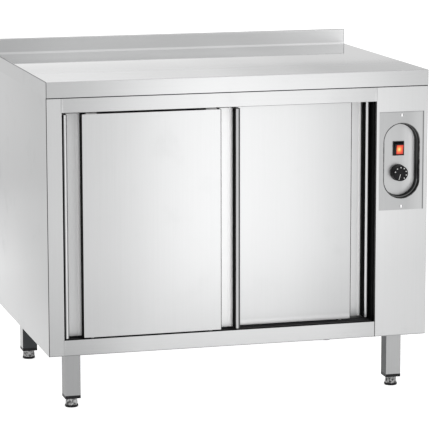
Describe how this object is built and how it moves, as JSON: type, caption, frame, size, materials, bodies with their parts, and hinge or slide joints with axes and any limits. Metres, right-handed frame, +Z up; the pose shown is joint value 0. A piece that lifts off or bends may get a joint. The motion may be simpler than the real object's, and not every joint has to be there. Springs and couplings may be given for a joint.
{
  "type": "plate warmer cabinet",
  "caption": "Free-standing steel plate warmer cabinet with sliding doors, a control column with a recessed switch and thermostat, and a worktop with an upstand.",
  "frame": {"origin": "on the floor, under the middle of the cabinet", "axes": "+X to the viewer's right along the width, +Y to the back, +Z up"},
  "size_m": [1, 0.7, 0.88],
  "materials": {
    "brushed_steel": "fine brushed",
    "recess_steel": "satin",
    "plain_steel": "mill finish",
    "leg_steel": "brushed along the tube",
    "foot_steel": "machined",
    "bright_steel": "bright",
    "board": "raw particle board",
    "insulation": "mineral wool",
    "black_plastic": "satin black",
    "white_nylon": "natural",
    "red_lens": "clear red, lit",
    "motor_paint": "satin"
  },
  "bodies": {
    "cabinet": {"worktop": "brushed_steel", "left_side_panel": "brushed_steel", "right_side_panel": "brushed_steel", "top_rail": "brushed_steel", "bottom_rail": "brushed_steel", "control_plate": "brushed_steel", "control_recess": "recess_steel", "body_roof": "plain_steel", "back_panel": "plain_steel", "back_angles": "plain_steel", "base_pan": "plain_steel", "chamber_floor": "plain_steel", "chamber_liner": "plain_steel", "chamber_ceiling": "plain_steel", "partition": "plain_steel", "middle_shelf": "plain_steel", "shelf_rails": "plain_steel", "door_track": "plain_steel", "air_duct": "plain_steel", "leg_front_left": "leg_steel", "leg_front_right": "leg_steel", "leg_back_left": "leg_steel", "leg_back_right": "leg_steel", "plate_screws": "bright_steel", "heating_element": "bright_steel", "worktop_board": "board", "chamber_insulation": "insulation", "leg_caps": "black_plastic", "switch_housing": "black_plastic", "thermostat_body": "black_plastic", "cable_gland": "black_plastic", "floor_guide": "white_nylon", "terminal_block": "white_nylon", "fan_motor": "motor_paint"},
    "front_door": {"front_door_tray": "brushed_steel", "front_door_skin": "brushed_steel", "front_door_core": "insulation", "front_door_hangers": "bright_steel", "front_door_pins": "white_nylon"},
    "front_door_wheel_left": {"front_door_wheel_left": "white_nylon"},
    "front_door_wheel_right": {"front_door_wheel_right": "white_nylon"},
    "rear_door": {"rear_door_tray": "brushed_steel", "rear_door_skin": "brushed_steel", "rear_door_core": "insulation", "rear_door_hangers": "bright_steel", "rear_door_pins": "white_nylon"},
    "rear_door_wheel_left": {"rear_door_wheel_left": "white_nylon"},
    "rear_door_wheel_right": {"rear_door_wheel_right": "white_nylon"},
    "switch_rocker": {"switch_rocker": "red_lens"},
    "thermostat_knob": {"thermostat_knob": "black_plastic", "thermostat_shaft": "bright_steel"},
    "fan_wheel": {"fan_wheel": "bright_steel"},
    "foot_front_left": {"foot_front_left": "foot_steel", "foot_ring_front_left": "black_plastic"},
    "foot_front_right": {"foot_front_right": "foot_steel", "foot_ring_front_right": "black_plastic"},
    "foot_back_left": {"foot_back_left": "foot_steel", "foot_ring_back_left": "black_plastic"},
    "foot_back_right": {"foot_back_right": "foot_steel", "foot_ring_back_right": "black_plastic"}
  },
  "joints": [
    {"name": "front_door_slide", "type": "slide", "parent": "cabinet", "child": "front_door", "axis": [1, 0, 0], "range_m": [0, 0.358]},
    {"name": "front_door_wheel_left_roll", "type": "hinge", "parent": "front_door", "child": "front_door_wheel_left", "pos_m": [-0.384, -0.33425, 0.7783], "axis": [0, 1, 0], "range_deg": [0, 1715]},
    {"name": "front_door_wheel_right_roll", "type": "hinge", "parent": "front_door", "child": "front_door_wheel_right", "pos_m": [-0.075, -0.33425, 0.7783], "axis": [0, 1, 0], "range_deg": [0, 1715]},
    {"name": "rear_door_slide", "type": "slide", "parent": "cabinet", "child": "rear_door", "axis": [-1, 0, 0], "range_m": [0, 0.358]},
    {"name": "rear_door_wheel_left_roll", "type": "hinge", "parent": "rear_door", "child": "rear_door_wheel_left", "pos_m": [-0.026, -0.29825, 0.7783], "axis": [0, 1, 0], "range_deg": [-1715, 0]},
    {"name": "rear_door_wheel_right_roll", "type": "hinge", "parent": "rear_door", "child": "rear_door_wheel_right", "pos_m": [0.283, -0.29825, 0.7783], "axis": [0, 1, 0], "range_deg": [-1715, 0]},
    {"name": "switch_rocker_tip", "type": "hinge", "parent": "cabinet", "child": "switch_rocker", "pos_m": [0.429, -0.32, 0.635], "axis": [-1, 0, 0], "range_deg": [0, 20]},
    {"name": "thermostat_knob_turn", "type": "hinge", "parent": "cabinet", "child": "thermostat_knob", "pos_m": [0.429, -0.335, 0.572], "axis": [0, 1, 0], "range_deg": [0, 270]},
    {"name": "fan_wheel_spin", "type": "hinge", "parent": "cabinet", "child": "fan_wheel", "pos_m": [0.41, 0, 0.4735], "axis": [1, 0, 0], "continuous": true},
    {"name": "foot_front_left_screw", "type": "slide", "parent": "cabinet", "child": "foot_front_left", "axis": [0, 0, -1], "range_m": [0, 0.03]},
    {"name": "foot_front_right_screw", "type": "slide", "parent": "cabinet", "child": "foot_front_right", "axis": [0, 0, -1], "range_m": [0, 0.03]},
    {"name": "foot_back_left_screw", "type": "slide", "parent": "cabinet", "child": "foot_back_left", "axis": [0, 0, -1], "range_m": [0, 0.03]},
    {"name": "foot_back_right_screw", "type": "slide", "parent": "cabinet", "child": "foot_back_right", "axis": [0, 0, -1], "range_m": [0, 0.03]}
  ],
  "couplings": [
    {"joint": "front_door_wheel_left_roll", "follows": "front_door_slide", "rad_per_m": 83.333},
    {"joint": "front_door_wheel_right_roll", "follows": "front_door_slide", "rad_per_m": 83.333},
    {"joint": "rear_door_wheel_left_roll", "follows": "rear_door_slide", "rad_per_m": -83.333},
    {"joint": "rear_door_wheel_right_roll", "follows": "rear_door_slide", "rad_per_m": -83.333}
  ]
}
